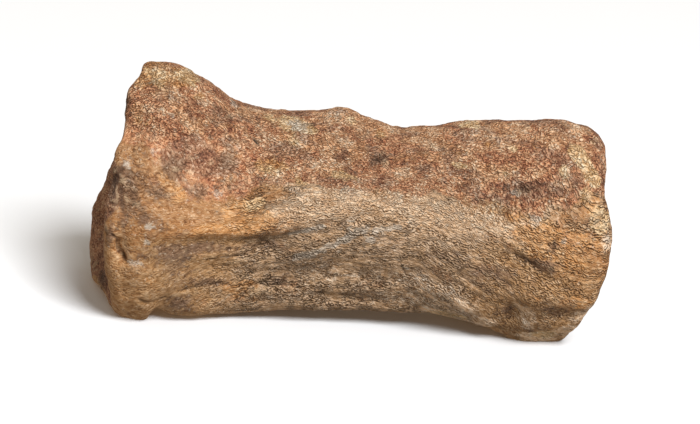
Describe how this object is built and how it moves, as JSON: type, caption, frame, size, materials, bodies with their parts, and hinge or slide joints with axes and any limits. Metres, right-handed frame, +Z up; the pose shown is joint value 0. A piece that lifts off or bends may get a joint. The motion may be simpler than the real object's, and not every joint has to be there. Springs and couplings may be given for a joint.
{
  "type": "fossil tail vertebra",
  "caption": "Weathered long tail vertebra of a dinosaur: waisted spool body, worn arch peaked at the front end, dished joint faces, resting on its underside keels.",
  "frame": {"origin": "middle of the bone's bounding box in plan, at the level of the ground it rests on", "axes": "+X towards the hind end, +Y towards the animal's right flank, +Z up, away from the keels"},
  "size_m": [0.0982, 0.0388, 0.0487],
  "materials": {
    "fossil_bone": "dry mineralised bone, reddish brown above, grey-brown on the flanks, ochre at the ends"
  },
  "bodies": {
    "root": {"vertebra": "fossil_bone"}
  },
  "joints": []
}
